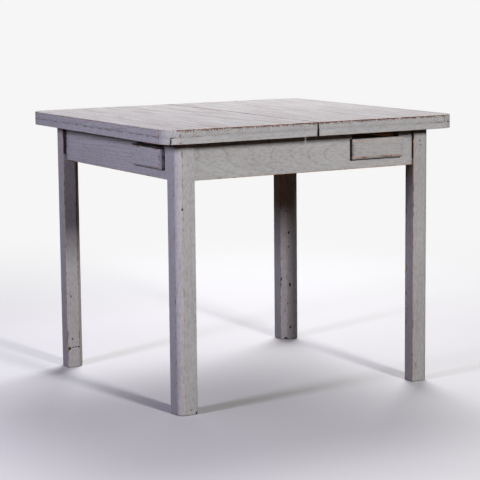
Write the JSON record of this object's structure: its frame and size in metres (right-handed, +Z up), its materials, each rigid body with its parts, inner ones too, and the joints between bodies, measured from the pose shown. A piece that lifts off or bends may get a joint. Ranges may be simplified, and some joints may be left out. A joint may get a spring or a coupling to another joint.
{
  "type": "kitchen table",
  "caption": "Square-legged wooden kitchen table whose split top pulls apart on grooved slides, with small lipped drawers let into its aprons.",
  "frame": {"origin": "on the floor under the middle of the closed top", "axes": "+X along the front edge, the way the right half slides open; +Y from the front to the back; +Z up"},
  "size_m": [0.92, 0.86, 0.765],
  "materials": {
    "painted_wood": "thin grey paint over pine, brushed on, worn through along the arrises",
    "bare_wood": "bare planed softwood, browned with age",
    "panel_wood": "bare thin plywood",
    "screw_steel": "dull plain steel"
  },
  "bodies": {
    "frame": {"apron_back": "painted_wood", "apron_front": "painted_wood", "apron_left": "painted_wood", "apron_right": "painted_wood", "back_drawer_runners": "bare_wood", "centre_rail": "bare_wood", "front_drawer_runners": "bare_wood", "left_drawer_bearer": "bare_wood", "left_drawer_runners": "bare_wood", "leg_back_left": "painted_wood", "leg_back_right": "painted_wood", "leg_front_left": "painted_wood", "leg_front_right": "painted_wood", "right_drawer_bearer": "bare_wood", "right_drawer_runners": "bare_wood", "slide_rail_back": "bare_wood", "slide_rail_front": "bare_wood"},
    "left_top": {"left_top_back_batten": "painted_wood", "left_top_back_loper": "bare_wood", "left_top_end_batten": "painted_wood", "left_top_front_batten": "painted_wood", "left_top_front_loper": "bare_wood", "left_top_inner_board": "painted_wood", "left_top_loper_screws": "screw_steel", "left_top_middle_board": "painted_wood", "left_top_outer_board": "painted_wood", "left_top_stop_block": "bare_wood", "seam_dowels": "bare_wood"},
    "right_top": {"right_top_back_batten": "painted_wood", "right_top_back_loper": "bare_wood", "right_top_end_batten": "painted_wood", "right_top_front_batten": "painted_wood", "right_top_front_loper": "bare_wood", "right_top_inner_board": "painted_wood", "right_top_loper_screws": "screw_steel", "right_top_middle_board": "painted_wood", "right_top_outer_board": "painted_wood", "right_top_stop_block": "bare_wood"},
    "front_drawer": {"front_drawer_back": "bare_wood", "front_drawer_bottom": "panel_wood", "front_drawer_face": "painted_wood", "front_drawer_left_side": "bare_wood", "front_drawer_right_side": "bare_wood"},
    "left_drawer": {"left_drawer_back": "bare_wood", "left_drawer_bottom": "panel_wood", "left_drawer_face": "painted_wood", "left_drawer_left_side": "bare_wood", "left_drawer_right_side": "bare_wood"},
    "back_drawer": {"back_drawer_back": "bare_wood", "back_drawer_bottom": "panel_wood", "back_drawer_face": "painted_wood", "back_drawer_left_side": "bare_wood", "back_drawer_right_side": "bare_wood"},
    "right_drawer": {"right_drawer_back": "bare_wood", "right_drawer_bottom": "panel_wood", "right_drawer_face": "painted_wood", "right_drawer_left_side": "bare_wood", "right_drawer_right_side": "bare_wood"}
  },
  "joints": [
    {"name": "left_top_slide", "type": "slide", "parent": "frame", "child": "left_top", "axis": [-1, 0, 0], "range_m": [0, 0.22]},
    {"name": "right_top_slide", "type": "slide", "parent": "frame", "child": "right_top", "axis": [1, 0, 0], "range_m": [0, 0.22]},
    {"name": "front_drawer_slide", "type": "slide", "parent": "frame", "child": "front_drawer", "axis": [0, -1, 0], "range_m": [0, 0.2]},
    {"name": "left_drawer_slide", "type": "slide", "parent": "frame", "child": "left_drawer", "axis": [-1, 0, 0], "range_m": [0, 0.2]},
    {"name": "back_drawer_slide", "type": "slide", "parent": "frame", "child": "back_drawer", "axis": [0, 1, 0], "range_m": [0, 0.2]},
    {"name": "right_drawer_slide", "type": "slide", "parent": "frame", "child": "right_drawer", "axis": [1, 0, 0], "range_m": [0, 0.2]}
  ]
}
